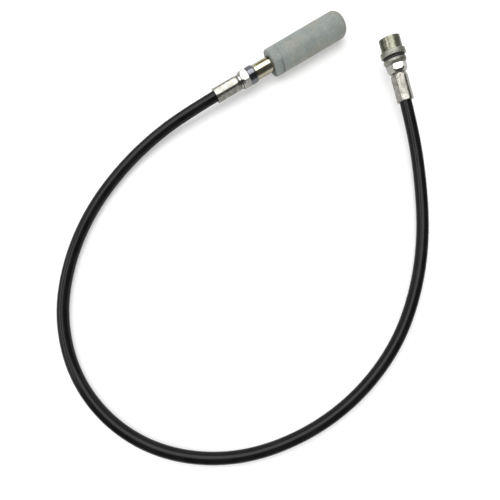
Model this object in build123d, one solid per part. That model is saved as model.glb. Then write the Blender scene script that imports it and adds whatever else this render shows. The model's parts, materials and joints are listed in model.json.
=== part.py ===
from build123d import *
import math
import os

# A mechanical cable release: a push grip at one end, a camera coupling at the other,
# and a sheathed cable that lies in an open loop between them.
# All sizes are millimetres. +X runs along the grip towards the thumb end, +Z is up,
# and the origin is on the table under the middle of the operator end.

# ---- cable ---------------------------------------------------------------
CABLE_D = 6.0            # outer diameter of the jacket
JACKET_BORE_D = 4.2
CONDUIT_D = 4.1
CONDUIT_BORE_D = 1.6
WIRE_D = 1.2             # the inner wire that carries the push
STROKE = 9.4             # travel of the grip, and of the release pin

# ---- crimped ends, the same at both ends of the cable ------------------------
FERRULE_LENGTH = 14.0
FERRULE_FLATS = 7.7      # across the six crimped flats
FERRULE_ROUND_D = 8.3    # what is left of the ferrule's round stock at the corners
FERRULE_LIP = 1.8        # turned-in lip behind the jacket
FERRULE_MOUTH_EDGE = 0.3
FERRULE_TAPER = 1.4      # length of the tapered inner end
FERRULE_TAPER_DROP = 0.6
JACKET_GRIPPED = 11.2    # jacket length held inside each ferrule
TAIL_SETBACK = 1.8       # the barbed tails start this far inside the ferrules
TAIL_D = 4.2
BARB_D = 4.5
BARB_FIRST = 0.8
BARB_LENGTH = 1.4
BARB_PITCH = 2.2
BARB_COUNT = 4
NECK_D = 4.6
WIRE_PASSAGE_D = 1.6

# ---- operator end ----------------------------------------------------------
OPERATOR_LENGTH = 77.2
OPERATOR_AXIS_Z = 7.5
WASHER_D = 7.8
WASHER_THICKNESS = 1.2
WASHER_EDGE = 0.2
STEM_HEX_FLATS = 9.1
STEM_HEX_LENGTH = 4.1
STEM_HEX_LEAD = 1.2      # long chamfer on the cable's side of the hexagon
STEM_SPIGOT_D = 4.4
STEM_SPIGOT_LENGTH = 2.7
BUMPER_D = 9.6
BUMPER_LENGTH = 4.2
BUMPER_EDGE = 0.5
BARREL_D = 8.3
BARREL_BORE_D = 5.0
BARREL_SHANK_D = 6.4     # the part of the barrel inside the bumper ring
BARREL_SHOWING = 9.7     # barrel length between bumper ring and grip at rest
BARREL_END_D = 6.8
BARREL_END_LENGTH = 2.7
BARREL_EDGE = 0.3
KEYWAY_WIDTH = 1.4
KEYWAY_DEPTH = 0.7
KEYWAY_RUNOUT = 0.6      # spare keyway past the key's last position
KEY_WIDTH = 1.2
KEY_LENGTH = 3.0
KEY_HEIGHT = 2.0
KEY_ANGLE = -20.0        # from straight up, about the grip's axis
BUSH_LENGTH = 6.0
STOP_RING_D = 12.0
STOP_RING_LENGTH = 2.0
SEAT_THICKNESS = 0.6
SEAT_D = 11.8
SEAT_BORE_D = 4.4

# ---- push grip --------------------------------------------------------------
GRIP_D = 15.0
GRIP_BORE_D = 12.2
GRIP_DOME_RADIUS = 4.2
GRIP_END_WALL = 4.4
GRIP_BOSS_DEPTH = 2.5
COLLAR_SHOWING = 5.0     # mouth collar outside the shell
COLLAR_SPIGOT = 3.0      # and the part screwed inside it
COLLAR_MOUTH_EDGE = 0.3
COLLAR_FLAT_OFFSET = 5.8
COLLAR_FLAT_LENGTH = 4.6
COLLAR_FLAT_ANGLE = 67.0
COLLAR_EDGE = 1.1
ROD_D = 3.2
ROD_TIP_D = 2.4
ROD_TIP_LENGTH = 2.0
ROD_BORE_D = 1.5
ROD_BORE_SPARE = 1.6     # bore left past the wire's end at full stroke
SOCKET_D = 3.8
SOCKET_LENGTH = 4.0
SOCKET_EDGE = 0.5
SOCKET_CLEARANCE = 0.6   # what is left in front of the socket at full stroke
LOCK_NUT_FLATS = 6.0
LOCK_NUT_LENGTH = 2.2
LOCK_NUT_LEAD = 0.4
SPRING_MEAN_D = 9.2
SPRING_WIRE_D = 0.8
SPRING_TURNS = 11
SPRING_END_GAP = 0.08

# ---- camera end, measured along its own axis from the ferrule's mouth --------
CAMERA_NECK_GAP = 0.4
CAMERA_HEX_FLATS = 9.0
CAMERA_HEX_LENGTH = 4.4
CAMERA_HEX_LEAD = 1.5
CAMERA_HEX_ROLL = -10.0
CAMERA_COLLAR_D = 11.2
CAMERA_COLLAR_LENGTH = 2.7
CAMERA_COLLAR_LEAD = 1.0
CAMERA_COLLAR_DROP = 0.7
CAMERA_SPIGOT_D = 6.0
CAMERA_SPIGOT_PAST_CLIP = 0.8
SEAL_D = 10.6
SEAL_THICKNESS = 1.3
SEAL_EDGE = 0.4
NUT_GAP = 0.1
NUT_FLANGE_D = 12.3
NUT_FLANGE_LENGTH = 2.8
NUT_SLEEVE_D = 10.5
NUT_SLEEVE_LENGTH = 6.6
NUT_WEB = 2.3
NUT_THREAD_D = 8.0       # core diameter of the nut's inside thread
NUT_RELIEF_D = 8.6
NUT_RELIEF_LENGTH = 2.0
NUT_MOUTH_CHAMFER = 0.4
CLIP_D = 7.4
CLIP_BORE_D = 5.2
CLIP_THICKNESS = 0.8
CLIP_GAP_ANGLE = 50.0
PIN_D = 2.0
PIN_EDGE = 0.3
PIN_SEAT = 0.8           # the pin's tail pressed into its socket
PIN_GUIDE_D = 4.0
PIN_GUIDE_LENGTH = 3.0
PIN_SOCKET_D = 3.0
PIN_SOCKET_LENGTH = 11.4
PIN_PASSAGE_D = 3.2
PIN_PASSAGE_SPARE = 0.6  # passage behind the socket at rest
PIN_STOP_GAP = 0.2       # passage in front of the socket at full stroke
WIRE_END_SETBACK = 1.0   # wire end inside the pin's socket at rest

RUNNING_GAP = 0.05       # radial clearance of every sliding or turning fit
END_GAP = 0.1            # axial clearance between neighbours that don't touch
EDGE = 0.35              # small broken edge on turned parts

# ---- the cable's route: hand-placed corners, ferrule to ferrule ---------------
# The cable leaves the grip's axis, lies on the table, and rises to the camera end.
ROUTE = [
    (-27.4, 0.0, 7.5),
    (-50.4, 0.0, 7.5),
    (-74.4, -0.6, 4.5),
    (-99.4, -6.2, 3.0),
    (-124.1, -17.3, 3.0),
    (-145.4, -34.0, 3.0),
    (-161.4, -55.0, 3.0),
    (-169.4, -81.0, 3.0),
    (-167.4, -107.0, 3.0),
    (-156.4, -130.5, 3.0),
    (-138.0, -148.7, 3.0),
    (-114.4, -160.8, 3.0),
    (-85.3, -165.9, 3.0),
    (-56.7, -163.4, 3.0),
    (-29.1, -153.4, 3.0),
    (-6.0, -136.4, 3.0),
    (12.7, -115.4, 3.0),
    (27.5, -90.3, 4.2),
    (37.9, -65.8, 7.7),
    (44.1, -43.7, 12.1),
]
BEND_SHARE = 0.45        # share of the shorter run that each bend takes

OPERATOR_MOUTH_X = -OPERATOR_LENGTH / 2
GRIP_TIP_X = OPERATOR_LENGTH / 2


def turned(*outline):
    """A solid of revolution about X from a closed outline of (x, radius) points."""
    return revolve(make_face(Polyline(*outline, close=True)), Axis.X)


def pipe(start, end, outer_d, bore_d, edge=0.0):
    """A tube along X, with its outer edges broken by a small chamfer."""
    outer = outer_d / 2
    bore = bore_d / 2
    if edge == 0.0:
        return turned((start, bore), (end, bore), (end, outer), (start, outer))
    return turned(
        (start, bore),
        (end, bore),
        (end, outer - edge),
        (end - edge, outer),
        (start + edge, outer),
        (start, outer - edge),
    )


def rod(start, end, diameter, edge=0.0):
    """A solid bar along X, with its edges broken by a small chamfer."""
    return pipe(start, end, diameter, 0.0, edge)


def hexagon(start, end, flats, roll=0.0):
    """A hexagonal bar along X with a flat on top, rolled about X by an angle."""
    profile = RegularPolygon(flats / 2, 6, major_radius=False)
    bar = extrude(Plane.YZ * profile, end - start)
    return Rot(roll, 0, 0) * Pos(start, 0, 0) * bar


def ferrule(roll):
    """A crimped sleeve with six flats, a turned-in lip and a tapered inner end."""
    outer = FERRULE_ROUND_D / 2
    jacket = CABLE_D / 2
    neck = NECK_D / 2
    lip_start = FERRULE_LENGTH - FERRULE_LIP
    shell = turned(
        (0, jacket),
        (lip_start, jacket),
        (lip_start, neck),
        (FERRULE_LENGTH, neck),
        (FERRULE_LENGTH, outer - FERRULE_TAPER_DROP),
        (FERRULE_LENGTH - FERRULE_TAPER, outer),
        (FERRULE_MOUTH_EDGE, outer),
        (0, outer - FERRULE_MOUTH_EDGE),
    )
    return shell & hexagon(0, FERRULE_LENGTH, FERRULE_FLATS, roll)


def barbed_tail(mouth_x):
    """A stem's tail inside a ferrule: saw-tooth barbs that hold the jacket, then a neck."""
    start = mouth_x + TAIL_SETBACK
    shoulder = mouth_x + FERRULE_LENGTH - FERRULE_LIP
    bore = WIRE_PASSAGE_D / 2
    tail = pipe(start, shoulder, TAIL_D, WIRE_PASSAGE_D)
    for index in range(BARB_COUNT):
        tip = start + BARB_FIRST + index * BARB_PITCH
        heel = tip + BARB_LENGTH
        tail += turned((tip, bore), (heel, bore), (heel, BARB_D / 2), (tip, TAIL_D / 2))
    return tail


def chamfered_hex(start, end, flats, bore_d, lead, roll=0.0):
    """A bored hexagon, with a long chamfer on its first face and a short one behind."""
    corner = flats / 2 / math.cos(math.radians(30))
    bore = bore_d / 2
    lead_drop = 0.8 * lead
    envelope = turned(
        (start, bore),
        (end, bore),
        (end, corner - EDGE),
        (end - EDGE, corner),
        (start + lead, corner),
        (start, corner - lead_drop),
    )
    return envelope & hexagon(start, end, flats, roll)


# ---- positions along the operator end ------------------------------------------
ferrule_end = OPERATOR_MOUTH_X + FERRULE_LENGTH
hex_start = ferrule_end + WASHER_THICKNESS
hex_end = hex_start + STEM_HEX_LENGTH
stem_spigot_end = hex_end + STEM_SPIGOT_LENGTH
bumper_end = hex_end + BUMPER_LENGTH
mouth = bumper_end + BARREL_SHOWING
shell_start = mouth + COLLAR_SHOWING
collar_end = shell_start + COLLAR_SPIGOT
barrel_shoulder = collar_end + END_GAP
barrel_end = collar_end + BARREL_END_LENGTH
barrel_seat_end = barrel_end + SEAT_THICKNESS
key_start = shell_start - KEY_LENGTH
grip_floor = GRIP_TIP_X - GRIP_END_WALL
boss_end = grip_floor + GRIP_BOSS_DEPTH
lock_nut_start = grip_floor - LOCK_NUT_LENGTH
grip_seat_start = lock_nut_start - SEAT_THICKNESS
socket_start = stem_spigot_end + STROKE + SOCKET_CLEARANCE
socket_end = socket_start + SOCKET_LENGTH
rod_start = socket_end - ROD_TIP_LENGTH
wire_start = rod_start

# ---- operator end: the fixed side ------------------------------------------------


def make_operator_stem():
    stem = barbed_tail(OPERATOR_MOUTH_X)
    stem += pipe(ferrule_end - FERRULE_LIP, hex_start, NECK_D, WIRE_PASSAGE_D)
    stem += chamfered_hex(hex_start, hex_end, STEM_HEX_FLATS, WIRE_PASSAGE_D, STEM_HEX_LEAD)
    stem += pipe(hex_end, stem_spigot_end, STEM_SPIGOT_D, WIRE_PASSAGE_D)
    return stem


def make_guide_barrel():
    bore = BARREL_BORE_D / 2
    spigot = STEM_SPIGOT_D / 2
    shank = BARREL_SHANK_D / 2
    outer = BARREL_D / 2
    end = BARREL_END_D / 2
    barrel = turned(
        (hex_end, spigot),
        (stem_spigot_end, spigot),
        (stem_spigot_end, bore),
        (barrel_end, bore),
        (barrel_end, end),
        (barrel_shoulder, end),
        (barrel_shoulder, outer),
        (bumper_end + BARREL_EDGE, outer),
        (bumper_end, outer - BARREL_EDGE),
        (bumper_end, shank),
        (hex_end, shank),
    )
    slot_start = key_start - STROKE - KEYWAY_RUNOUT
    slot_length = barrel_shoulder - slot_start
    slot = Box(slot_length, KEYWAY_WIDTH, outer, align=(Align.MIN, Align.CENTER, Align.MIN))
    slot = Pos(slot_start, 0, outer - KEYWAY_DEPTH) * slot
    return barrel - Rot(KEY_ANGLE, 0, 0) * slot


def make_operator_parts():
    stop_end = barrel_shoulder + STOP_RING_LENGTH
    bush_start = barrel_end - BUSH_LENGTH
    return {
        "operator_ferrule": Pos(OPERATOR_MOUTH_X, 0, 0) * ferrule(0),
        "operator_stem": make_operator_stem(),
        "stem_washer": pipe(ferrule_end, hex_start, WASHER_D, NECK_D, WASHER_EDGE),
        "bumper_ring": pipe(hex_end, bumper_end, BUMPER_D, BARREL_SHANK_D, BUMPER_EDGE),
        "guide_barrel": make_guide_barrel(),
        "barrel_stop_ring": pipe(
            barrel_shoulder, stop_end, STOP_RING_D, BARREL_END_D, WASHER_EDGE
        ),
        "rod_bush": pipe(bush_start, barrel_end, BARREL_BORE_D, ROD_D + 2 * RUNNING_GAP),
        "barrel_spring_seat": pipe(barrel_end, barrel_seat_end, SEAT_D, SEAT_BORE_D),
    }


# ---- push grip: everything that moves with the thumb -----------------------------


def make_grip_shell():
    outer = GRIP_D / 2
    bore = GRIP_BORE_D / 2
    boss = ROD_D / 2
    shell = turned(
        (shell_start, bore),
        (grip_floor, bore),
        (grip_floor, boss),
        (boss_end, boss),
        (boss_end, 0),
        (GRIP_TIP_X, 0),
        (GRIP_TIP_X, outer),
        (shell_start, outer),
    )
    rim = shell.edges().filter_by(GeomType.CIRCLE).group_by(Axis.X)[-1]
    return fillet(rim, GRIP_DOME_RADIUS)


def make_grip_collar():
    outer = GRIP_D / 2
    bore = BARREL_D / 2 + RUNNING_GAP
    spigot = GRIP_BORE_D / 2
    collar = turned(
        (mouth, bore + COLLAR_MOUTH_EDGE),
        (mouth + COLLAR_MOUTH_EDGE, bore),
        (collar_end, bore),
        (collar_end, spigot),
        (shell_start, spigot),
        (shell_start, outer),
        (mouth, outer),
    )
    mouth_edges = collar.edges().filter_by(GeomType.CIRCLE).group_by(Axis.X)[0]
    collar = fillet(mouth_edges.sort_by(SortBy.RADIUS)[-1], COLLAR_EDGE)
    flat = Box(COLLAR_FLAT_LENGTH, GRIP_D, GRIP_D, align=(Align.MIN, Align.CENTER, Align.MIN))
    flat = Pos(mouth, 0, COLLAR_FLAT_OFFSET) * flat
    for side in (0, 180):
        collar -= Rot(COLLAR_FLAT_ANGLE + side, 0, 0) * flat
    return collar - make_guide_key()


def make_guide_key():
    foot = BARREL_D / 2 - KEYWAY_DEPTH + END_GAP
    key = Box(KEY_LENGTH, KEY_WIDTH, KEY_HEIGHT, align=(Align.MIN, Align.CENTER, Align.MIN))
    return Rot(KEY_ANGLE, 0, 0) * Pos(key_start, 0, foot) * key


def make_plunger_rod():
    bar = rod(rod_start + ROD_TIP_LENGTH, boss_end, ROD_D)
    bar += rod(rod_start, socket_end, ROD_TIP_D)
    return bar - rod(rod_start, rod_start + STROKE + ROD_BORE_SPARE, ROD_BORE_D)


def make_wire_socket():
    outer = SOCKET_D / 2
    return turned(
        (socket_start, ROD_BORE_D / 2),
        (rod_start, ROD_BORE_D / 2),
        (rod_start, ROD_TIP_D / 2),
        (socket_end, ROD_TIP_D / 2),
        (socket_end, outer),
        (socket_start + SOCKET_EDGE, outer),
        (socket_start, outer - SOCKET_EDGE),
    )


def make_grip_parts():
    return {
        "grip_shell": make_grip_shell(),
        "grip_collar": make_grip_collar(),
        "guide_key": make_guide_key(),
        "plunger_rod": make_plunger_rod(),
        "wire_socket": make_wire_socket(),
        "rod_lock_nut": chamfered_hex(
            lock_nut_start, grip_floor, LOCK_NUT_FLATS, ROD_D, LOCK_NUT_LEAD
        ),
        "grip_spring_seat": pipe(grip_seat_start, lock_nut_start, SEAT_D, ROD_D),
    }


def make_return_spring():
    """A round-wire helix that fills the gap between its two seats at rest."""
    clear = SPRING_WIRE_D / 2 + SPRING_END_GAP
    length = grip_seat_start - barrel_seat_end - 2 * clear
    coil = Helix(length / SPRING_TURNS, length, SPRING_MEAN_D / 2)
    section = Plane(coil @ 0, z_dir=coil % 0) * Circle(SPRING_WIRE_D / 2)
    spring = sweep(section, path=coil, is_frenet=True)
    return Pos(barrel_seat_end + clear, 0, 0) * Rot(0, 90, 0) * spring


# ---- camera end, built along X from its ferrule's mouth at x = 0 -------------------
camera_hex_start = FERRULE_LENGTH + CAMERA_NECK_GAP
camera_hex_end = camera_hex_start + CAMERA_HEX_LENGTH
camera_collar_end = camera_hex_end + CAMERA_COLLAR_LENGTH
seal_end = camera_collar_end + SEAL_THICKNESS
nut_start = seal_end + NUT_GAP
sleeve_start = nut_start + NUT_FLANGE_LENGTH
nut_end = sleeve_start + NUT_SLEEVE_LENGTH
web_end = nut_start + NUT_WEB
clip_start = web_end + NUT_GAP
clip_end = clip_start + CLIP_THICKNESS
spigot_end = clip_end + CAMERA_SPIGOT_PAST_CLIP
guide_start = spigot_end - PIN_GUIDE_LENGTH
pin_socket_end = guide_start - STROKE - PIN_STOP_GAP
pin_socket_start = pin_socket_end - PIN_SOCKET_LENGTH
camera_wire_end = pin_socket_end - WIRE_END_SETBACK


def make_camera_stem():
    passage_start = pin_socket_start - PIN_PASSAGE_SPARE
    stem = barbed_tail(0)
    stem += pipe(FERRULE_LENGTH - FERRULE_LIP, camera_hex_start, NECK_D, WIRE_PASSAGE_D)
    stem += chamfered_hex(
        camera_hex_start,
        camera_hex_end,
        CAMERA_HEX_FLATS,
        WIRE_PASSAGE_D,
        CAMERA_HEX_LEAD,
        CAMERA_HEX_ROLL,
    )
    stem += pipe(camera_hex_end, spigot_end, CAMERA_SPIGOT_D, WIRE_PASSAGE_D)
    stem -= rod(passage_start, guide_start, PIN_PASSAGE_D)
    stem -= rod(guide_start, spigot_end, PIN_GUIDE_D)
    return stem - pipe(clip_start, clip_end, CLIP_D, CLIP_BORE_D)


def make_camera_collar():
    outer = CAMERA_COLLAR_D / 2
    bore = CAMERA_SPIGOT_D / 2
    return turned(
        (camera_hex_end, bore),
        (camera_collar_end, bore),
        (camera_collar_end, outer - EDGE),
        (camera_collar_end - EDGE, outer),
        (camera_hex_end + CAMERA_COLLAR_LEAD, outer),
        (camera_hex_end, outer - CAMERA_COLLAR_DROP),
    )


def make_coupling_nut():
    """A swivelling nut: turned flange, plain sleeve, threaded mouth and back web."""
    flange = NUT_FLANGE_D / 2
    sleeve = NUT_SLEEVE_D / 2
    spigot = CAMERA_SPIGOT_D / 2 + RUNNING_GAP
    relief = NUT_RELIEF_D / 2
    thread = NUT_THREAD_D / 2
    relief_end = web_end + NUT_RELIEF_LENGTH
    return turned(
        (nut_start, spigot),
        (web_end, spigot),
        (web_end, relief),
        (relief_end, relief),
        (relief_end, thread),
        (nut_end - NUT_MOUTH_CHAMFER, thread),
        (nut_end, thread + NUT_MOUTH_CHAMFER),
        (nut_end, sleeve - NUT_MOUTH_CHAMFER),
        (nut_end - NUT_MOUTH_CHAMFER, sleeve),
        (sleeve_start, sleeve),
        (sleeve_start, flange - EDGE),
        (sleeve_start - EDGE, flange),
        (nut_start + EDGE, flange),
        (nut_start, flange - EDGE),
    )


def make_retaining_clip():
    """An open snap ring that keeps the coupling nut on the stem's spigot."""
    half_gap = math.radians(CLIP_GAP_ANGLE / 2)
    across = CLIP_D * math.sin(half_gap)
    along = CLIP_D * math.cos(half_gap)
    wedge = make_face(Polyline((0, 0), (across, along), (-across, along), close=True))
    gap = extrude(Plane.YZ * wedge, CLIP_THICKNESS)
    return pipe(clip_start, clip_end, CLIP_D, CLIP_BORE_D) - Pos(clip_start, 0, 0) * gap


def make_pin_socket():
    sleeve = pipe(pin_socket_start, pin_socket_end, PIN_SOCKET_D, ROD_BORE_D)
    return sleeve - rod(pin_socket_end - PIN_SEAT, pin_socket_end, PIN_D)


def make_camera_parts():
    return {
        "camera_ferrule": ferrule(CAMERA_HEX_ROLL),
        "camera_stem": make_camera_stem(),
        "camera_collar": make_camera_collar(),
        "camera_seal": pipe(camera_collar_end, seal_end, SEAL_D, CAMERA_SPIGOT_D, SEAL_EDGE),
        "coupling_nut": make_coupling_nut(),
        "nut_retaining_clip": make_retaining_clip(),
        "pin_guide": pipe(guide_start, spigot_end, PIN_GUIDE_D, PIN_D + 2 * RUNNING_GAP),
        "release_pin": rod(pin_socket_end - PIN_SEAT, spigot_end, PIN_D, PIN_EDGE),
        "pin_socket": make_pin_socket(),
    }


# ---- cable ------------------------------------------------------------------------


def bend_radii(points):
    """The largest radius that the two runs beside each corner allow."""
    corners = [Vector(*point) for point in points]
    radii = []
    for before, corner, after in zip(corners, corners[1:], corners[2:]):
        run_in = corner - before
        run_out = after - corner
        half_turn = math.radians(run_in.get_angle(run_out) / 2)
        shorter = min(run_in.length, run_out.length)
        radii.append(BEND_SHARE * shorter / math.tan(half_turn))
    return radii


RADII = bend_radii(ROUTE)
route_end = Vector(*ROUTE[-1])
heading = (route_end - Vector(*ROUTE[-2])).normalized()
camera_mouth = route_end - heading * JACKET_GRIPPED


def cable_tube(start_x, past_mouth, outer_d, bore_d=0.0):
    """A tube along the route, from start_x to a distance past the camera ferrule's mouth."""
    first = Vector(start_x, 0, OPERATOR_AXIS_Z)
    final = camera_mouth + heading * past_mouth
    path = FilletPolyline(first, *ROUTE[1:-1], final, radius=RADII)
    plane = Plane(path @ 0, z_dir=path % 0)
    tube = sweep(plane * Circle(outer_d / 2), path=path)
    if bore_d:
        tube -= sweep(plane * Circle(bore_d / 2), path=path)
    expected = math.pi / 4 * (outer_d**2 - bore_d**2) * path.length
    print(f"cable part: length {path.length:.1f}, volume {tube.volume:.0f} of {expected:.0f}")
    return tube


def make_cable_parts():
    jacket_start = OPERATOR_MOUTH_X + JACKET_GRIPPED
    conduit_start = OPERATOR_MOUTH_X + TAIL_SETBACK
    return {
        "cable_jacket": cable_tube(jacket_start, JACKET_GRIPPED, CABLE_D, JACKET_BORE_D),
        "cable_conduit": cable_tube(conduit_start, TAIL_SETBACK, CONDUIT_D, CONDUIT_BORE_D),
        "inner_wire": cable_tube(wire_start, camera_wire_end, WIRE_D),
    }


# ---- assembly -------------------------------------------------------------------------
on_operator_axis = Pos(0, 0, OPERATOR_AXIS_Z)
upright = Vector(0, 0, 1) - heading * heading.Z
on_camera_axis = Plane(camera_mouth, x_dir=heading, z_dir=upright).location

operator_parts = make_operator_parts() | make_grip_parts()
operator_parts["return_spring"] = make_return_spring()
nodes = {name: on_operator_axis * solid for name, solid in operator_parts.items()}
for name, solid in make_camera_parts().items():
    nodes[name] = on_camera_axis * solid
nodes |= make_cable_parts()

print("bend radii:", ", ".join(f"{radius:.0f}" for radius in RADII))
print("camera end: mouth", tuple(camera_mouth), "direction", tuple(heading))
print(f"nut: starts {nut_start:.2f}, thread {web_end + NUT_RELIEF_LENGTH:.2f} to {nut_end:.2f}")
os.makedirs("parts", exist_ok=True)
for name, solid in nodes.items():
    export_step(solid, f"parts/{name}.step")
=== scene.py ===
import json
import math

import bmesh
import bpy
from mathutils import Matrix, Vector


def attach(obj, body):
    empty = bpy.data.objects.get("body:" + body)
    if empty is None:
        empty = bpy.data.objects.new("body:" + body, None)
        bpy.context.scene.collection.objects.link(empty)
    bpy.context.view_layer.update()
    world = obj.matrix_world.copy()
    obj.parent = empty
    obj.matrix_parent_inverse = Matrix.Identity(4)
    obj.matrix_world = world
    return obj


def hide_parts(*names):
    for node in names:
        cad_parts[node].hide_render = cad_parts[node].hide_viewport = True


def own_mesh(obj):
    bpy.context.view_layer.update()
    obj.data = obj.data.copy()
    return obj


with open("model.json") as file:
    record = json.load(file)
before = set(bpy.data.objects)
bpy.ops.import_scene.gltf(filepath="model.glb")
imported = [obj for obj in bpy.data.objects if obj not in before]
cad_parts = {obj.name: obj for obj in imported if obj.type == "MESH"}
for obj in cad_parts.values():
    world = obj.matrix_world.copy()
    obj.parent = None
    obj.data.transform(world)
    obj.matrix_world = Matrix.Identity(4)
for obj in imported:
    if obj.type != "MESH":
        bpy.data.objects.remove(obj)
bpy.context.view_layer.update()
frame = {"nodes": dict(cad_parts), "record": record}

MM = 0.001
NODES = frame["nodes"]
RECORD = frame["record"]

# ---- the cable's route, in metres: the same corners as in the CAD model ------
ROUTE = [
    (-0.0274, 0.0000, 0.0075),
    (-0.0504, 0.0000, 0.0075),
    (-0.0744, -0.0006, 0.0045),
    (-0.0994, -0.0062, 0.0030),
    (-0.1241, -0.0173, 0.0030),
    (-0.1454, -0.0340, 0.0030),
    (-0.1614, -0.0550, 0.0030),
    (-0.1694, -0.0810, 0.0030),
    (-0.1674, -0.1070, 0.0030),
    (-0.1564, -0.1305, 0.0030),
    (-0.1380, -0.1487, 0.0030),
    (-0.1144, -0.1608, 0.0030),
    (-0.0853, -0.1659, 0.0030),
    (-0.0567, -0.1634, 0.0030),
    (-0.0291, -0.1534, 0.0030),
    (-0.0060, -0.1364, 0.0030),
    (0.0127, -0.1154, 0.0030),
    (0.0275, -0.0903, 0.0042),
    (0.0379, -0.0658, 0.0077),
    (0.0441, -0.0437, 0.0121),
]
CABLE_D = 0.006
JACKET_GRIPPED = 0.0112

# ---- camera: nearly straight down, with the picture's upward direction turned on the table 
TARGET = Vector((-0.0652, -0.0759, 0.0))
PICTURE_UP = math.radians(57.95)
CAMERA_TILT = math.radians(8.0)
CAMERA_DISTANCE = 0.2522
CAMERA_LENS = 36.0
SENSOR = 36.0


def link(name, data):
    made = bpy.data.objects.new(name, data)
    bpy.context.scene.collection.objects.link(made)
    return made


def make_camera():
    """A camera over the table, tilted a little towards the bottom of its own picture."""
    up_on_table = Vector((math.cos(PICTURE_UP), math.sin(PICTURE_UP), 0))
    forward = up_on_table * math.sin(CAMERA_TILT) - Vector((0, 0, math.cos(CAMERA_TILT)))
    right = forward.cross(up_on_table).normalized()
    up = right.cross(forward)
    data = bpy.data.cameras.new("camera")
    data.lens = CAMERA_LENS
    data.sensor_width = SENSOR
    data.clip_start = 0.01
    data.clip_end = 20
    camera = link("camera", data)
    rotation = Matrix((right, up, -forward)).transposed().to_4x4()
    camera.matrix_world = Matrix.Translation(TARGET - forward * CAMERA_DISTANCE) @ rotation
    bpy.context.scene.camera = camera


def make_cable():
    """The jacket, as one smooth curve through the route's control points."""
    curve = bpy.data.curves.new("cable", "CURVE")
    curve.dimensions = "3D"
    spline = curve.splines.new("NURBS")
    spline.points.add(len(ROUTE) - 1)
    for point, place in zip(spline.points, ROUTE):
        point.co = (*place, 1.0)
        point.radius = CABLE_D / 2
    spline.order_u = 3
    spline.use_endpoint_u = True
    spline.resolution_u = 24
    curve.bevel_depth = 1.0      # times each point's radius
    curve.bevel_resolution = 10
    curve.use_fill_caps = True
    return link("cable", curve)


make_camera()
cable = make_cable()

# ---- where the two ends lie --------------------------------------------------------------
# Both ends are built along their own X axis, in millimetres, and then put in place.
heading = (Vector(ROUTE[-1]) - Vector(ROUTE[-2])).normalized()
upright = (Vector((0, 0, 1)) - heading * heading.z).normalized()
across = upright.cross(heading)
camera_mouth = Vector(ROUTE[-1]) - heading * JACKET_GRIPPED
AT_CAMERA = Matrix.Translation(camera_mouth) @ Matrix((heading, across, upright)).transposed().to_4x4()
AT_OPERATOR = Matrix.Translation((0, 0, ROUTE[0][2]))


def measure(node, place):
    """Start, end and largest radius of a CAD node along an end's own axis, in millimetres."""
    to_axis = place.inverted()
    points = [to_axis @ vertex.co for vertex in NODES[node].data.vertices]
    start = min(point.x for point in points)
    end = max(point.x for point in points)
    radius = max(math.hypot(point.y, point.z) for point in points)
    return start / MM, end / MM, radius / MM


# ---- turned and milled shapes ------------------------------------------------------------
COLUMNS = 144            # steps round a turned piece, a multiple of 6 so that hexagons fit
CREASE = math.radians(26)
HAIR = 0.012             # spacing of the paired rows at a milled step
FINE = 0.1               # a barely broken edge
SHORT_OF_HALF = 0.48     # the share of a short run that one rounding may take
SAME = 1e-6              # radii closer than this are equal
SAME_POINT = 1e-8        # in metres, wide enough for single precision
AXIS_PLACE = "axis_place"


def soft_min(a, b, hardness=60):
    """The smaller of two radii, with a slightly rounded change from one to the other."""
    return (a**-hardness + b**-hardness) ** (-1 / hardness)


def rounded(corners, steps=5):
    """An outline from (x, radius, rounding) corners; rounding is how far the curve reaches."""
    outline = []
    for index, (x, r, reach) in enumerate(corners):
        here = Vector((x, r))
        if reach == 0:
            outline.append(here)
            continue
        before = Vector(corners[index - 1][:2]) - here
        after = Vector(corners[(index + 1) % len(corners)][:2]) - here
        start = here + before.normalized() * min(reach, SHORT_OF_HALF * before.length)
        end = here + after.normalized() * min(reach, SHORT_OF_HALF * after.length)
        for step in range(steps + 1):
            t = step / steps
            outline.append(start * (1 - t) ** 2 + here * 2 * t * (1 - t) + end * t**2)
    return outline


def even_angles(extra=()):
    """Angles round the axis, in degrees from straight up, with extra ones at milled edges."""
    angles = {round(360 * step / COLUMNS, 4) for step in range(COLUMNS)}
    return sorted(angles | {round(angle % 360, 4) for angle in extra})


def keep_axis_places(data):
    """Stores each point's place on the piece's own axis, which the tool marks follow."""
    places = data.attributes.new(AXIS_PLACE, "FLOAT_VECTOR", "POINT")
    for vertex, kept in zip(data.vertices, places.data):
        kept.vector = vertex.co


def join_rings(mesh, ring, next_ring):
    """A band of faces between two rings with the same number of points."""
    for index in range(len(ring)):
        beside = (index + 1) % len(ring)
        mesh.faces.new((ring[index], ring[beside], next_ring[beside], next_ring[index]))


def finish_piece(name, mesh, place, crease):
    """Makes a smooth-shaded piece from a mesh on its own axis, and puts it in place."""
    bmesh.ops.recalc_face_normals(mesh, faces=mesh.faces)
    for face in mesh.faces:
        face.smooth = True
    data = bpy.data.meshes.new(name)
    mesh.to_mesh(data)
    mesh.free()
    keep_axis_places(data)
    data.transform(place)
    data.set_sharp_from_angle(angle=crease)
    return link(name, data)


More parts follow.
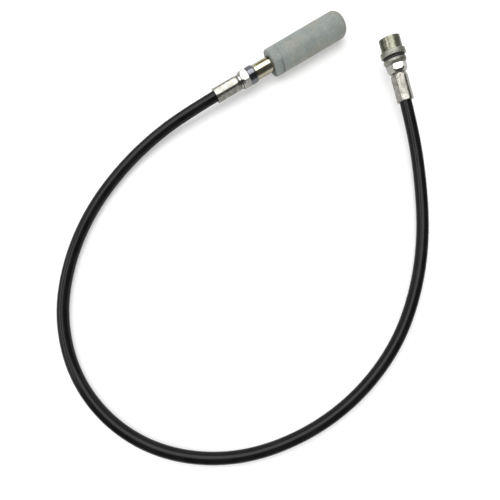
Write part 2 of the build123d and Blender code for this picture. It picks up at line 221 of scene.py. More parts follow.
def turned(name, outline, place, shape=None, angles=None):
    """A closed mesh from an outline swept round X. shape(x, r, angle) may change the radius.

    An outline that starts and ends on the axis makes a solid end, any other makes a bore.
    """
    angles = angles or even_angles()
    mesh = bmesh.new()
    rings = []
    for x, r in outline:
        ring = []
        for angle in angles:
            radius = shape(x, r, angle) if shape else r
            turn = math.radians(angle)
            point = Vector((x, -math.sin(turn) * radius, math.cos(turn) * radius))
            ring.append(mesh.verts.new(point * MM))
        rings.append(ring)
    solid_end = outline[0][1] < SAME
    following = rings[1:] if solid_end else rings[1:] + rings[:1]
    for ring, next_ring in zip(rings, following):
        join_rings(mesh, ring, next_ring)
    bmesh.ops.remove_doubles(mesh, verts=mesh.verts, dist=SAME_POINT)
    return finish_piece(name, mesh, place, CREASE)


def six_flats(flats, roll, flare=None):
    """A shape with six flats; flare(x) gives how much shallower they are at a place."""

    def shape(x, r, angle):
        from_middle = (angle - roll + 30) % 60 - 30
        distance = flats / 2 + (flare(x) if flare else 0)
        return soft_min(r, distance / math.cos(math.radians(from_middle)))

    return shape


def mark_faces(data, chosen):
    """Gives the faces whose middle is chosen, by its place on the axis, the second material."""
    places = data.attributes[AXIS_PLACE].data
    for polygon in data.polygons:
        corners = [places[vertex].vector for vertex in polygon.vertices]
        middle = sum(corners, Vector()) / len(corners)
        polygon.material_index = 1 if chosen(middle) else 0


# ---- crimped ends ------------------------------------------------------------------------
FERRULE_FLATS = 7.7
FERRULE_NECK = 2.3
FERRULE_LIP = 1.8
FERRULE_TAPER = 1.4
FERRULE_DROP = 0.6
FERRULE_SHOULDER = 0.9   # a row of points, this far before the taper
FLARE_LENGTH = 1.6       # length over which the flats run out towards the mouth
FLARE_DEPTH = 0.18
FLARE_ROWS = (1.5, 1.0, 0.5)
CAMERA_ROLL = -10.0


def make_ferrule(name, node, place, roll):
    """A crimped sleeve: six pressed flats, a round rolled mouth and a tapered inner end."""
    start, end, radius = measure(node, place)
    jacket = CABLE_D / 2 / MM
    outline = rounded([
        (start, jacket, 0.12),
        (end - FERRULE_LIP, jacket, 0),
        (end - FERRULE_LIP, FERRULE_NECK, 0),
        (end, FERRULE_NECK, FINE),
        (end, radius - FERRULE_DROP, 0.25),
        (end - FERRULE_TAPER, radius, 0.5),
        (end - FERRULE_TAPER - FERRULE_SHOULDER, radius, 0),
        ((start + end) / 2, radius, 0),
        *[(start + row, radius, 0) for row in FLARE_ROWS],
        (start, radius, 0.35),
    ])

    def flare(x):
        return FLARE_DEPTH * max(0.0, 1 - (x - start) / FLARE_LENGTH)

    return turned(name, outline, place, six_flats(FERRULE_FLATS, roll, flare))


BARB_FIRST = 0.8
BARB_PITCH = 2.2
BARB_LENGTH = 1.4
BARB_COUNT = 4
TAIL_RADIUS = 2.1
BARB_RADIUS = 2.25
WIRE_PASSAGE = 0.8
HEX_LEAD_SLOPE = 0.8     # how far a hexagon's long chamfer drops, as a share of its length
HEX_ROW = 1.2            # a row of points on the flats, this far past the long chamfer
HEX_CHAMFER = 0.45       # the short chamfer on the far side


def barbed_outline(tail_start, shoulder):
    """The outer outline of a stem's tail: saw-tooth barbs, then the neck's shoulder."""
    corners = [(tail_start, TAIL_RADIUS, FINE)]
    for index in range(BARB_COUNT):
        tip = tail_start + BARB_FIRST + index * BARB_PITCH
        corners.append((tip, TAIL_RADIUS, 0))
        corners.append((tip + BARB_LENGTH, BARB_RADIUS, 0))
        corners.append((tip + BARB_LENGTH, TAIL_RADIUS, 0))
    corners.append((shoulder, TAIL_RADIUS, 0))
    corners.append((shoulder, FERRULE_NECK, 0))
    return corners


def make_stem(name, node, place, ferrule_node, hexagon, flats, lead, roll, spigot):
    """A stem: barbed tail, neck and chamfered hexagon, bored for the wire.

    spigot holds the corners from the hexagon's far face to the end of the wire's passage.
    """
    _, ferrule_end, _ = measure(ferrule_node, place)
    hex_start, hex_end = hexagon
    tail_start, _, _ = measure(node, place)
    corner = flats / 2 / math.cos(math.radians(30))
    outline = rounded([
        *barbed_outline(tail_start, ferrule_end - FERRULE_LIP),
        (hex_start, FERRULE_NECK, FINE),
        (hex_start, corner - HEX_LEAD_SLOPE * lead, 0.2),
        (hex_start + lead, corner, 0.5),
        (hex_start + lead + HEX_ROW, corner, 0),
        (hex_end - HEX_CHAMFER, corner, 0.25),
        (hex_end, corner - HEX_CHAMFER, 0.2),
        *spigot,
        (tail_start, WIRE_PASSAGE, FINE),
    ])
    return turned(name, outline, place, six_flats(flats, roll))


# ---- operator end, fixed side ------------------------------------------------------------
STEM_HEX_FLATS = 9.1
STEM_HEX_LEAD = 1.2
SHANK_RADIUS = 3.2
BARREL_END_RADIUS = 3.4
BARREL_BORE = 2.5
STEM_SPIGOT_RADIUS = 2.2
KEYWAY_HALF_WIDTH = 0.7
KEYWAY_DEPTH = 0.7
KEYWAY_START = 1.7       # from the bumper ring
KEYWAY_CORNER = 0.1      # degrees between the two columns at each of its walls
KEY_ANGLE = -20.0
RING_SHOULDER = 0.35     # how far the bumper ring's ends are turned down
RING_SHOULDER_LENGTH = 0.5
RING_CROWN = 0.1


def make_operator_stem():
    _, washer_end, _ = measure("stem_washer", AT_OPERATOR)
    ring_start, _, _ = measure("bumper_ring", AT_OPERATOR)
    _, stem_end, _ = measure("operator_stem", AT_OPERATOR)
    return make_stem(
        "stem_operator",
        "operator_stem",
        AT_OPERATOR,
        "operator_ferrule",
        (washer_end, ring_start),
        STEM_HEX_FLATS,
        STEM_HEX_LEAD,
        0.0,
        [
            (ring_start, STEM_SPIGOT_RADIUS, FINE),
            (stem_end, STEM_SPIGOT_RADIUS, 0.15),
            (stem_end, WIRE_PASSAGE, FINE),
        ],
    )


def make_washer():
    start, end, radius = measure("stem_washer", AT_OPERATOR)
    outline = rounded([
        (start, FERRULE_NECK, FINE),
        (end, FERRULE_NECK, FINE),
        (end, radius, 0.3),
        (start, radius, 0.3),
    ])
    return turned("washer", outline, AT_OPERATOR)


def make_bumper():
    """A ring with a slightly crowned face and soft shoulders."""
    start, end, radius = measure("bumper_ring", AT_OPERATOR)
    middle = (start + end) / 2
    outline = rounded([
        (start, SHANK_RADIUS, FINE),
        (end, SHANK_RADIUS, FINE),
        (end, radius - RING_SHOULDER, 0.25),
        (end - RING_SHOULDER_LENGTH, radius - RING_CROWN, 0.35),
        (middle, radius, 1.2),
        (start + RING_SHOULDER_LENGTH, radius - RING_CROWN, 0.35),
        (start, radius - RING_SHOULDER, 0.25),
    ])
    return turned("bumper", outline, AT_OPERATOR)


def make_barrel():
    """The guide barrel: shank inside the ring, plated bearing length and milled keyway."""
    start, end, radius = measure("guide_barrel", AT_OPERATOR)
    _, ring_end, _ = measure("bumper_ring", AT_OPERATOR)
    shoulder, _, _ = measure("barrel_stop_ring", AT_OPERATOR)
    _, spigot_end, _ = measure("operator_stem", AT_OPERATOR)
    keyway_start = ring_end + KEYWAY_START
    outline = rounded([
        (start, STEM_SPIGOT_RADIUS, FINE),
        (spigot_end, STEM_SPIGOT_RADIUS, 0),
        (spigot_end, BARREL_BORE, 0),
        (end, BARREL_BORE, FINE),
        (end, BARREL_END_RADIUS, 0.2),
        (shoulder, BARREL_END_RADIUS, 0),
        (shoulder, radius, 0),
        (keyway_start + HAIR, radius, 0),
        (keyway_start, radius, 0),
        (ring_end, radius, 0.3),
        (ring_end, SHANK_RADIUS, 0),
        (start, SHANK_RADIUS, FINE),
    ])
    half_angle = math.degrees(math.asin(KEYWAY_HALF_WIDTH / radius))
    floor = radius - KEYWAY_DEPTH

    def shape(x, r, angle):
        off = (angle - KEY_ANGLE + 180) % 360 - 180
        in_keyway = abs(off) < half_angle and x > keyway_start + HAIR / 2
        if in_keyway and r > floor:
            return floor / math.cos(math.radians(off))
        return r

    walls = [
        KEY_ANGLE + side * (half_angle + nudge)
        for side in (-1, 1)
        for nudge in (-KEYWAY_CORNER, KEYWAY_CORNER)
    ]
    return turned("barrel", outline, AT_OPERATOR, shape, even_angles(walls))


# ---- push grip ---------------------------------------------------------------------------
GRIP_BORE = 6.1
GRIP_DOME = 4.2
GRIP_FLOOR_WALL = 4.4
GRIP_BOSS_WALL = 1.9
ROD_RADIUS = 1.6
COLLAR_FLAT_OFFSET = 5.8
COLLAR_FLAT_LENGTH = 4.6
COLLAR_FLAT_ANGLE = 67.0
COLLAR_FLAT_ROW = 2.2    # a row of points on the flats, this far from the mouth
COLLAR_FLAT_HARDNESS = 120
COLLAR_EDGE = 1.1
COLLAR_MOUTH_EDGE = 0.3
COLLAR_CLEARANCE = 0.05  # round the barrel
SEAM = 0.16              # broken edge on each side of the joint with the shell
DOME_STEPS = 14


def make_grip_body():
    """The closed shell of the push grip, with its thumb end rounded in a true arc."""
    start, end, radius = measure("grip_shell", AT_OPERATOR)
    floor = end - GRIP_FLOOR_WALL
    boss = end - GRIP_BOSS_WALL
    outline = rounded([
        (boss, 0, 0),
        (boss, ROD_RADIUS, 0),
        (floor, ROD_RADIUS, 0),
        (floor, GRIP_BORE, 0.4),
        (start, GRIP_BORE, 0),
        (start, radius - SEAM, 0),
        (start + SEAM, radius, FINE),
    ])
    for step in range(DOME_STEPS + 1):
        turn = math.pi / 2 * step / DOME_STEPS
        x = end - GRIP_DOME * (1 - math.sin(turn))
        r = radius - GRIP_DOME * (1 - math.cos(turn))
        outline.append(Vector((x, r)))
    outline.append(Vector((end, 0)))
    return turned("grip_body", outline, AT_OPERATOR)


def make_collar():
    """The grip's mouth collar, with two spanner flats that stop short of the shell."""
    start, end, _ = measure("grip_collar", AT_OPERATOR)
    shell_start, _, radius = measure("grip_shell", AT_OPERATOR)
    _, _, barrel = measure("guide_barrel", AT_OPERATOR)
    bore = barrel + COLLAR_CLEARANCE
    step = start + COLLAR_FLAT_LENGTH
    outline = rounded([
        (start, bore + COLLAR_MOUTH_EDGE, 0.15),
        (start + COLLAR_MOUTH_EDGE, bore, 0),
        (end, bore, FINE),
        (end, GRIP_BORE, 0.2),
        (shell_start, GRIP_BORE, 0),
        (shell_start, radius - SEAM, 0),
        (shell_start - SEAM, radius, 0),
        (step + HAIR, radius, 0),
        (step, radius, 0),
        (start + COLLAR_FLAT_ROW, radius, 0),
        (start, radius, COLLAR_EDGE),
    ], steps=8)
    half_angle = math.degrees(math.acos(COLLAR_FLAT_OFFSET / radius))

    def shape(x, r, angle):
        off = (angle - COLLAR_FLAT_ANGLE + 90) % 180 - 90
        in_bore = r < (bore + COLLAR_FLAT_OFFSET) / 2
        if x > step + HAIR / 2 or in_bore or abs(off) > half_angle:
            return r
        flat = COLLAR_FLAT_OFFSET / math.cos(math.radians(off))
        return soft_min(r, flat, COLLAR_FLAT_HARDNESS)

    edges = [
        COLLAR_FLAT_ANGLE + half_turn + side * half_angle
        for half_turn in (0, 180)
        for side in (-1, 1)
    ]
    return turned("grip_mouth", outline, AT_OPERATOR, shape, even_angles(edges))


# ---- return spring -----------------------------------------------------------------------
SPRING_WIRE = 0.8
SPRING_TURNS = 11
SPRING_END_TURNS = 0.9   # turns at each end that lie close together
SPRING_END_SHARE = 0.04  # and the share of the spring's length that they take
SPRING_STEPS = 40        # points on each turn
SPRING_SIDES = 10
SPRING_CREASE = math.radians(50)


def spring_reach(share):
    """The share of the spring's length that a share of its turns reaches: slow at its ends."""
    closed = SPRING_END_TURNS / SPRING_TURNS
    if share < closed:
        return SPRING_END_SHARE * share / closed
    if share > 1 - closed:
        return 1 - SPRING_END_SHARE * (1 - share) / closed
    open_length = 1 - 2 * SPRING_END_SHARE
    return SPRING_END_SHARE + open_length * (share - closed) / (1 - 2 * closed)


def wire_ring(mesh, middle, out, radius):
    """One ring of points round the spring's wire; out points away from the spring's axis."""
    ring = []
    for side in range(SPRING_SIDES):
        roll = 2 * math.pi * side / SPRING_SIDES
        offset = out * math.cos(roll) + Vector((1, 0, 0)) * math.sin(roll)
        ring.append(mesh.verts.new((middle + offset * radius) * MM))
    return ring


def make_spring():
    """A round-wire coil with closed ends, in the place of the CAD spring."""
    start, end, radius = measure("return_spring", AT_OPERATOR)
    wire = SPRING_WIRE / 2
    mean = radius - wire
    first = start + wire
    length = end - start - SPRING_WIRE
    steps = SPRING_TURNS * SPRING_STEPS
    mesh = bmesh.new()
    rings = []
    for step in range(steps + 1):
        turn = 2 * math.pi * step / SPRING_STEPS
        out = Vector((0, -math.sin(turn), math.cos(turn)))
        middle = Vector((first + length * spring_reach(step / steps), 0, 0)) + out * mean
        rings.append(wire_ring(mesh, middle, out, wire))
    for ring, next_ring in zip(rings, rings[1:]):
        join_rings(mesh, ring, next_ring)
    mesh.faces.new(rings[0])
    mesh.faces.new(rings[-1])
    return finish_piece("spring", mesh, AT_OPERATOR, SPRING_CREASE)


def squash_spring(spring):
    """Gives the spring a mesh of its own."""
    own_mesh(spring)


# ---- camera end --------------------------------------------------------------------------
CAMERA_HEX_FLATS = 9.0
CAMERA_HEX_LEAD = 1.5
CAMERA_NECK_GAP = 0.4
CAMERA_SPIGOT_RADIUS = 3.0
CLIP_GROOVE_RADIUS = 2.6
PIN_PASSAGE_RADIUS = 1.6
PIN_PASSAGE_SPARE = 0.6  # passage left behind the pin's socket
CAMERA_COLLAR_EDGE = 0.3
CAMERA_COLLAR_LEAD = 1.0
CAMERA_COLLAR_DROP = 0.7
NUT_BORE = 3.05
NUT_FLANGE = 2.8
NUT_SLEEVE_RADIUS = 5.25
NUT_WEB = 2.3
NUT_RELIEF_RADIUS = 4.3
NUT_RELIEF = 2.0
NUT_MOUTH_CHAMFER = 0.4
THREAD_RADIUS = 4.0
THREAD_DEPTH = 0.38
THREAD_PITCH = 0.85
THREAD_ROWS_PER_TURN = 8


def make_camera_stem():
    """The camera end's stem, with the clip's groove and the bores for the pin and its guide."""
    _, ferrule_end, _ = measure("camera_ferrule", AT_CAMERA)
    collar_start, _, _ = measure("camera_collar", AT_CAMERA)
    _, spigot_end, _ = measure("camera_stem", AT_CAMERA)
    clip_start, clip_end, _ = measure("nut_retaining_clip", AT_CAMERA)
    guide_start, _, guide_radius = measure("pin_guide", AT_CAMERA)
    socket_start, _, _ = measure("pin_socket", AT_CAMERA)
    passage_start = socket_start - PIN_PASSAGE_SPARE
    spigot = [
        (collar_start, CAMERA_SPIGOT_RADIUS, FINE),
        (clip_start, CAMERA_SPIGOT_RADIUS, 0),
        (clip_start, CLIP_GROOVE_RADIUS, 0),
        (clip_end, CLIP_GROOVE_RADIUS, 0),
        (clip_end, CAMERA_SPIGOT_RADIUS, 0),
        (spigot_end, CAMERA_SPIGOT_RADIUS, 0.15),
        (spigot_end, guide_radius, 0),
        (guide_start, guide_radius, 0),
        (guide_start, PIN_PASSAGE_RADIUS, 0),
        (passage_start, PIN_PASSAGE_RADIUS, 0),
        (passage_start, WIRE_PASSAGE, 0),
    ]
    return make_stem(
        "stem_camera",
        "camera_stem",
        AT_CAMERA,
        "camera_ferrule",
        (ferrule_end + CAMERA_NECK_GAP, collar_start),
        CAMERA_HEX_FLATS,
        CAMERA_HEX_LEAD,
        CAMERA_ROLL,
        spigot,
    )


def make_camera_collar():
    """A plain ring behind the hexagon, with a long soft slope on the hexagon's side."""
    start, end, radius = measure("camera_collar", AT_CAMERA)
    outline = rounded([
        (start, CAMERA_SPIGOT_RADIUS, 0),
        (end, CAMERA_SPIGOT_RADIUS, 0),
        (end, radius - CAMERA_COLLAR_EDGE, 0.15),
        (end - CAMERA_COLLAR_EDGE, radius, 0.2),
        (start + CAMERA_COLLAR_LEAD, radius, 0.5),
        (start, radius - CAMERA_COLLAR_DROP, 0.25),
    ])
    return turned("collar_camera", outline, AT_CAMERA)


def make_seal():
    """A moulded rubber ring, rounder than a washer."""
    start, end, radius = measure("camera_seal", AT_CAMERA)
    outline = rounded([
        (start, CAMERA_SPIGOT_RADIUS, FINE),
        (end, CAMERA_SPIGOT_RADIUS, FINE),
        (end, radius, 0.6),
        (start, radius, 0.6),
    ], steps=8)
    return turned("seal_ring", outline, AT_CAMERA)


def make_nut():
    """The swivelling coupling nut: rounded flange, sleeve, and a real inside thread."""
    start, end, radius = measure("coupling_nut", AT_CAMERA)
    sleeve_start = start + NUT_FLANGE
    web_end = start + NUT_WEB
    thread_start = web_end + NUT_RELIEF
    thread_end = end - NUT_MOUTH_CHAMFER
    rows = int((thread_end - thread_start) / THREAD_PITCH * THREAD_ROWS_PER_TURN)
    thread = [
        (thread_start + (thread_end - thread_start) * row / rows, THREAD_RADIUS, 0)
        for row in range(rows + 1)
    ]
    outline = rounded([
        (start, NUT_BORE, FINE),
        (web_end, NUT_BORE, FINE),
        (web_end, NUT_RELIEF_RADIUS, 0),
        (thread_start, NUT_RELIEF_RADIUS, 0),
        *thread,
        (end, THREAD_RADIUS + NUT_MOUTH_CHAMFER, 0.15),
        (end, NUT_SLEEVE_RADIUS, 0.4),
        (sleeve_start, NUT_SLEEVE_RADIUS, 0.3),
        (sleeve_start, radius, 0.45),
        (start, radius, 0.4),
    ])

    def shape(x, r, angle):
        if abs(r - THREAD_RADIUS) > SAME:
            return r
        turn = (x / THREAD_PITCH - angle / 360) % 1
        return THREAD_RADIUS + THREAD_DEPTH * (1 - abs(2 * turn - 1))

    made = turned("coupling", outline, AT_CAMERA, shape)
    mark_faces(made.data, lambda place: place.x < (sleeve_start - HAIR) * MM)
    return made


# ---- materials ---------------------------------------------------------------------------
def new_material(name, colour, metallic, roughness, **constants):
    """A material with constant values on the shader's own sockets, its tree and its shader."""
    material = bpy.data.materials.new(name)
    material.use_nodes = True
    tree = material.node_tree
    shader = tree.nodes["Principled BSDF"]
    shader.inputs["Base Color"].default_value = (*colour, 1)
    shader.inputs["Metallic"].default_value = metallic
    shader.inputs["Roughness"].default_value = roughness
    for socket, value in constants.items():
        shader.inputs[socket.replace("_", " ")].default_value = value
    return material, tree, shader


def noise_texture(tree, size_mm, detail, vector):
    texture = tree.nodes.new("ShaderNodeTexNoise")
    texture.inputs["Scale"].default_value = 1 / (size_mm * MM)
    texture.inputs["Detail"].default_value = detail
    tree.links.new(vector, texture.inputs["Vector"])
    return texture.outputs["Fac"]


def noise(tree, size_mm, detail=3.0):
    """Noise whose features are about size_mm across."""
    place = tree.nodes.new("ShaderNodeTexCoord")
    return noise_texture(tree, size_mm, detail, place.outputs["Object"])


def tool_marks(tree, size_mm, stretch, detail=2.0):
    """Noise drawn out round or along a turned piece's own axis."""
    place = tree.nodes.new("ShaderNodeAttribute")
    place.attribute_name = AXIS_PLACE
    mapping = tree.nodes.new("ShaderNodeMapping")
    mapping.inputs["Scale"].default_value = [1 / factor for factor in stretch]
    tree.links.new(place.outputs["Vector"], mapping.inputs["Vector"])
    return noise_texture(tree, size_mm, detail, mapping.outputs["Vector"])


def ramp(tree, value, low, high, start=0.3, end=0.7):
    """Colours between low and high as a value goes from start to end."""
    node = tree.nodes.new("ShaderNodeValToRGB")
    node.color_ramp.elements[0].position = start
    node.color_ramp.elements[0].color = (*low, 1)
    node.color_ramp.elements[1].position = end
    node.color_ramp.elements[1].color = (*high, 1)
    tree.links.new(value, node.inputs["Fac"])
    return node.outputs["Color"]


def mix(tree, share, first, second, kind="MIX"):
    node = tree.nodes.new("ShaderNodeMix")
    node.data_type = "RGBA"
    node.blend_type = kind
    if isinstance(share, float):
        node.inputs["Factor"].default_value = share
    else:
        tree.links.new(share, node.inputs["Factor"])
    tree.links.new(first, node.inputs["A"])
    tree.links.new(second, node.inputs["B"])
    return node.outputs["Result"]


def spread(tree, value, low, high, start=0.3, end=0.7):
    """A number between low and high as a value goes from start to end."""
    node = tree.nodes.new("ShaderNodeMapRange")
    node.inputs["From Min"].default_value = start
    node.inputs["From Max"].default_value = end
    node.inputs["To Min"].default_value = low
    node.inputs["To Max"].default_value = high
    tree.links.new(value, node.inputs["Value"])
    return node.outputs["Result"]


def bump(tree, shader, height, depth_mm):
    """Adds a relief of about depth_mm to what the shader already has."""
    node = tree.nodes.new("ShaderNodeBump")
    node.inputs["Distance"].default_value = depth_mm * MM
    tree.links.new(height, node.inputs["Height"])
    if shader.inputs["Normal"].is_linked:
        tree.links.new(shader.inputs["Normal"].links[0].from_socket, node.inputs["Normal"])
    tree.links.new(node.outputs["Normal"], shader.inputs["Normal"])


# how far tool marks are drawn out along X, Y and Z of a piece's own axis
ROUND = (1, 60, 60)
ALONG = (25, 1, 1)


def metal(name, dark, light, roughness, turned_marks=0.0, scratches=0.0, patch_mm=4.0):
    """A metal with patches of tint, uneven polish, fine turning marks and scratches."""
    material, tree, shader = new_material(name, light, 1.0, roughness[0])
    patches = noise(tree, patch_mm, 4.0)
    tree.links.new(ramp(tree, patches, dark, light), shader.inputs["Base Color"])
    wear = noise(tree, 1.6, 4.0)
    tree.links.new(spread(tree, wear, roughness[0], roughness[1]), shader.inputs["Roughness"])
    if turned_marks:
        bump(tree, shader, tool_marks(tree, 0.2, ROUND), turned_marks)
    if scratches:
        bump(tree, shader, tool_marks(tree, 0.3, ALONG), scratches)
    return material


def make_vinyl():
    """Black extruded jacket: glossy, with faint die lines and handling marks."""
    material, tree, shader = new_material(
        "black_vinyl", (0.005, 0.005, 0.0055), 0.0, 0.2, Specular_IOR_Level=0.18
    )
    smudges = noise(tree, 9.0, 5.0)
    tint = ramp(tree, smudges, (0.003, 0.003, 0.0035), (0.008, 0.008, 0.0085))
    tree.links.new(tint, shader.inputs["Base Color"])
    tree.links.new(spread(tree, smudges, 0.07, 0.14), shader.inputs["Roughness"])
    bump(tree, shader, noise(tree, 3.0, 2.0), 0.012)
    bump(tree, shader, noise(tree, 0.3, 3.0), 0.0008)
    return material


def make_grip_finish():
    """Fine bead-blasted grey with slow tint changes and darker handled patches."""
    material, tree, shader = new_material(
        "blasted_grey", (0.3, 0.31, 0.29), 0.0, 0.55, Specular_IOR_Level=0.25
    )
    cool = ramp(tree, noise(tree, 1.1, 6.0), (0.207, 0.232, 0.222), (0.266, 0.294, 0.279))
    warm = ramp(tree, noise(tree, 0.9, 6.0), (0.23, 0.231, 0.199), (0.296, 0.295, 0.26))
    warmth = spread(tree, noise(tree, 11.0, 2.0), 0.0, 1.0, 0.38, 0.62)
    tinted = mix(tree, warmth, cool, warm)
    handled = ramp(tree, noise(tree, 6.0, 4.0), (0.86, 0.87, 0.87), (1, 1, 1), 0.35, 0.6)
    tree.links.new(mix(tree, 1.0, tinted, handled, "MULTIPLY"), shader.inputs["Base Color"])
    tree.links.new(spread(tree, noise(tree, 2.0, 4.0), 0.46, 0.62), shader.inputs["Roughness"])
    bump(tree, shader, noise(tree, 0.22, 3.0), 0.012)
    bump(tree, shader, noise(tree, 1.4, 3.0), 0.02)
    return material


def make_rubber():
    """Matt black rubber with a little dust."""
    material, tree, shader = new_material("matt_rubber", (0.02, 0.02, 0.02), 0.0, 0.6)
    dust = noise(tree, 0.6, 4.0)
    tint = ramp(tree, dust, (0.012, 0.012, 0.012), (0.03, 0.03, 0.029))
    tree.links.new(tint, shader.inputs["Base Color"])
    tree.links.new(spread(tree, dust, 0.5, 0.75), shader.inputs["Roughness"])
    bump(tree, shader, noise(tree, 0.2, 3.0), 0.01)
    return material


LOOKS = {
    "jacket_vinyl": make_vinyl(),
    "spring_steel": metal("drawn_wire", (0.3, 0.3, 0.3), (0.45, 0.45, 0.45), (0.2, 0.35)),
    "plated_steel": metal(
        "bright_plate", (0.36, 0.355, 0.33), (0.48, 0.47, 0.44), (0.12, 0.25), scratches=0.003
    ),
    "black_ring": metal("blue_black", (0.13, 0.135, 0.15), (0.18, 0.185, 0.2), (0.12, 0.2)),
    "nickel_brass": metal(
        "pale_nickel", (0.38, 0.35, 0.25), (0.5, 0.47, 0.36), (0.1, 0.2), turned_marks=0.0006
    ),
    "brass": metal(
        "turned_brass", (0.4, 0.27, 0.1), (0.55, 0.4, 0.18), (0.2, 0.35), turned_marks=0.004
    ),
    "grip_grey": make_grip_finish(),
    "satin_steel": metal(
        "satin_plate",
        (0.24, 0.24, 0.205),
        (0.37, 0.365, 0.32),
        (0.42, 0.6),
        turned_marks=0.003,
        patch_mm=2.4,
    ),
    "gunmetal": metal(
        "olive_steel",
        (0.11, 0.11, 0.078),
        (0.25, 0.25, 0.195),
        (0.17, 0.32),
        turned_marks=0.0015,
        patch_mm=1.4,
    ),
    "black_rubber": make_rubber(),
}
CRIMPED = metal(
    "crimped_plate",
    (0.22, 0.214, 0.185),
    (0.4, 0.39, 0.355),
    (0.2, 0.38),
    scratches=0.0015,
    patch_mm=2.2,
)


def paint_nodes():
    """Every CAD node, hidden ones too, takes the look of its own slot."""
    for row in RECORD["subparts"]:
        mesh = NODES[row["node"]].data
        mesh.materials.clear()
        mesh.materials.append(LOOKS[row["material_slot"]])


def fit_piece(piece, body, node, *more_nodes, look=None):
    """Puts a piece on its body in place of CAD nodes, in the finish of the first of them."""
    slots = {row["node"]: row["material_slot"] for row in RECORD["subparts"]}
    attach(piece, body)
    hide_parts(node, *more_nodes)
    piece.data.materials.append(look or LOOKS[slots[node]])
    return piece


paint_nodes()
fit_piece(cable, "release", "cable_jacket", "cable_conduit", "inner_wire")
fit_piece(
    make_ferrule("ferrule_operator", "operator_ferrule", AT_OPERATOR, 0.0),
    "release",
    "operator_ferrule",
    look=CRIMPED,
)
fit_piece(make_operator_stem(), "release", "operator_stem")
fit_piece(make_washer(), "release", "stem_washer")
fit_piece(make_bumper(), "release", "bumper_ring")
fit_piece(make_barrel(), "release", "guide_barrel")
fit_piece(make_grip_body(), "grip", "grip_shell")
fit_piece(make_collar(), "grip", "grip_collar")
squash_spring(fit_piece(make_spring(), "release", "return_spring"))

nut = fit_piece(make_nut(), "coupling", "coupling_nut")
nut.data.materials.append(LOOKS["satin_steel"])
camera_pieces = [
    fit_piece(
        make_ferrule("ferrule_camera", "camera_ferrule", AT_CAMERA, CAMERA_ROLL),
        "release",
        "camera_ferrule",
        look=CRIMPED,
    ),
    fit_piece(make_camera_stem(), "release", "camera_stem"),
    fit_piece(make_camera_collar(), "release", "camera_collar"),
    fit_piece(make_seal(), "release", "camera_seal"),
    nut,
    NODES["nut_retaining_clip"],
    NODES["pin_guide"],
    NODES["release_pin"],
    NODES["pin_socket"],
]


# ---- floor and studio light --------------------------------------------------------------
FLOOR_HALF = 6.0
FLOOR_WHITE = 0.75
FLOOR_LIFT = 0.3         # how much brighter the lit floor is shown than it is
FLOOR_FADE = (0.3, 0.8)  # between these distances the floor turns into the backdrop
BACKDROP = (1.0, 1.0, 1.0)


def multiply(tree, first, second):
    """The product of a value and a number or another value."""
    node = tree.nodes.new("ShaderNodeMath")
    node.operation = "MULTIPLY"
    tree.links.new(first, node.inputs[0])
    if isinstance(second, float):
        node.inputs[1].default_value = second
    else:
        tree.links.new(second, node.inputs[1])
    return node.outputs["Value"]


def make_paper():
    """White paper that is seen slightly lifted, and far away as the plain backdrop."""
    material, tree, shader = new_material(
        "paper", (FLOOR_WHITE,) * 3, 0.0, 0.9, Specular_IOR_Level=0.0
    )
    seen = tree.nodes.new("ShaderNodeLightPath").outputs["Is Camera Ray"]
    shader.inputs["Emission Color"].default_value = (1, 1, 1, 1)
    tree.links.new(multiply(tree, seen, FLOOR_LIFT), shader.inputs["Emission Strength"])
    place = tree.nodes.new("ShaderNodeTexCoord")
    distance = tree.nodes.new("ShaderNodeVectorMath")
    distance.operation = "LENGTH"
    tree.links.new(place.outputs["Object"], distance.inputs[0])
    far = spread(tree, distance.outputs["Value"], 0.0, 1.0, *FLOOR_FADE)
    backdrop = tree.nodes.new("ShaderNodeEmission")
    backdrop.inputs["Color"].default_value = (*BACKDROP, 1)
    either = tree.nodes.new("ShaderNodeMixShader")
    tree.links.new(multiply(tree, seen, far), either.inputs["Fac"])
    tree.links.new(shader.outputs["BSDF"], either.inputs[1])
    tree.links.new(backdrop.outputs["Emission"], either.inputs[2])
    tree.links.new(either.outputs["Shader"], tree.nodes["Material Output"].inputs["Surface"])
    return material


def make_floor():
    mesh = bpy.data.meshes.new("floor")
    corners = [(-1, -1), (1, -1), (1, 1), (-1, 1)]
    mesh.from_pydata([(x * FLOOR_HALF, y * FLOOR_HALF, 0) for x, y in corners], [], [(0, 1, 2, 3)])
    floor = link("floor", mesh)
    mesh.materials.append(make_paper())


LIGHT_HEIGHT = 0.62
SOFTBOX_RADIANCE = 3.0
# each stop of the sky: degrees from straight up towards +Y, and brightness
SKY = [
    (-180, 0.30),
    (-90, 0.35),
    (-70, 0.10),
    (-20, 0.10),
    (-5, 0.30),
    (35, 1.0),
    (90, 0.8),
    (180, 0.5),
]


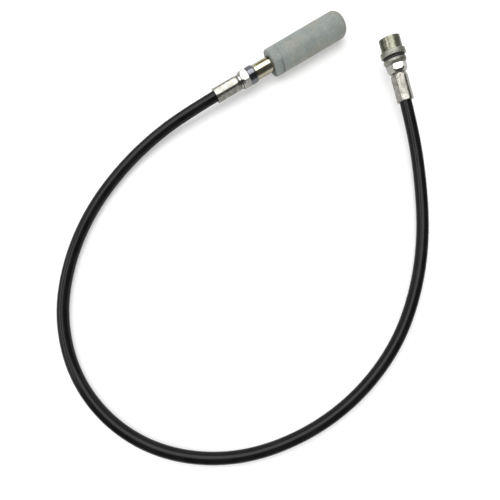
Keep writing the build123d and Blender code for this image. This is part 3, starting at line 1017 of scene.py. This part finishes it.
def make_world():
    """A dim room, brighter on its +Y side, that is itself seen as the plain backdrop."""
    world = bpy.data.worlds.new("studio")
    bpy.context.scene.world = world
    world.use_nodes = True
    tree = world.node_tree
    place = tree.nodes.new("ShaderNodeTexCoord")
    parts = tree.nodes.new("ShaderNodeSeparateXYZ")
    tree.links.new(place.outputs["Generated"], parts.inputs["Vector"])
    angle = tree.nodes.new("ShaderNodeMath")
    angle.operation = "ARCTAN2"
    tree.links.new(parts.outputs["Y"], angle.inputs[0])
    tree.links.new(parts.outputs["Z"], angle.inputs[1])
    around = spread(tree, angle.outputs["Value"], 0.0, 1.0, -math.pi, math.pi)
    band = tree.nodes.new("ShaderNodeValToRGB")
    tree.links.new(around, band.inputs["Fac"])
    stops = band.color_ramp.elements
    for stop, (_, level) in zip(stops, (SKY[0], SKY[-1])):
        stop.color = (level, level, level, 1)
    for degrees, level in SKY[1:-1]:
        stops.new((degrees + 180) / 360).color = (level, level, level, 1)
    seen = tree.nodes.new("ShaderNodeLightPath").outputs["Is Camera Ray"]
    plain = tree.nodes.new("ShaderNodeRGB").outputs["Color"]
    plain.default_value = (*BACKDROP, 1)
    shown = mix(tree, seen, band.outputs["Color"], plain)
    tree.links.new(shown, tree.nodes["Background"].inputs["Color"])


def make_panel(name, width, depth, radiance):
    """A rectangular soft light of an even radiance. It faces down until it is turned."""
    lamp = bpy.data.lights.new(name, "AREA")
    lamp.shape = "RECTANGLE"
    lamp.size = width
    lamp.size_y = depth
    lamp.energy = radiance * math.pi * width * depth
    return link(name, lamp)


def make_softbox(name, west, east, south, north):
    """A soft light that hangs level over the floor, between four edges."""
    panel = make_panel(name, east - west, north - south, SOFTBOX_RADIANCE)
    panel.location = ((east + west) / 2, (north + south) / 2, LIGHT_HEIGHT)


FILL_PLACE = Vector((-0.06, -0.85, 0.30))
FILL_SIZE = (0.9, 0.4)
FILL_RADIANCE = 4.2


def make_fill():
    """A low fill on the -Y side. It evens out matt surfaces and isn't reflected in the metal."""
    panel = make_panel("fill_light", *FILL_SIZE, FILL_RADIANCE)
    panel.location = FILL_PLACE
    panel.rotation_euler = (TARGET - FILL_PLACE).to_track_quat("-Z", "Y").to_euler()
    panel.visible_glossy = False


make_floor()
make_world()
make_softbox("main_light", west=-0.24, east=0.34, south=-0.09, north=0.60)
make_softbox("side_light", west=-0.82, east=-0.42, south=-0.02, north=0.60)
make_fill()
bpy.context.scene.view_settings.view_transform = "Standard"
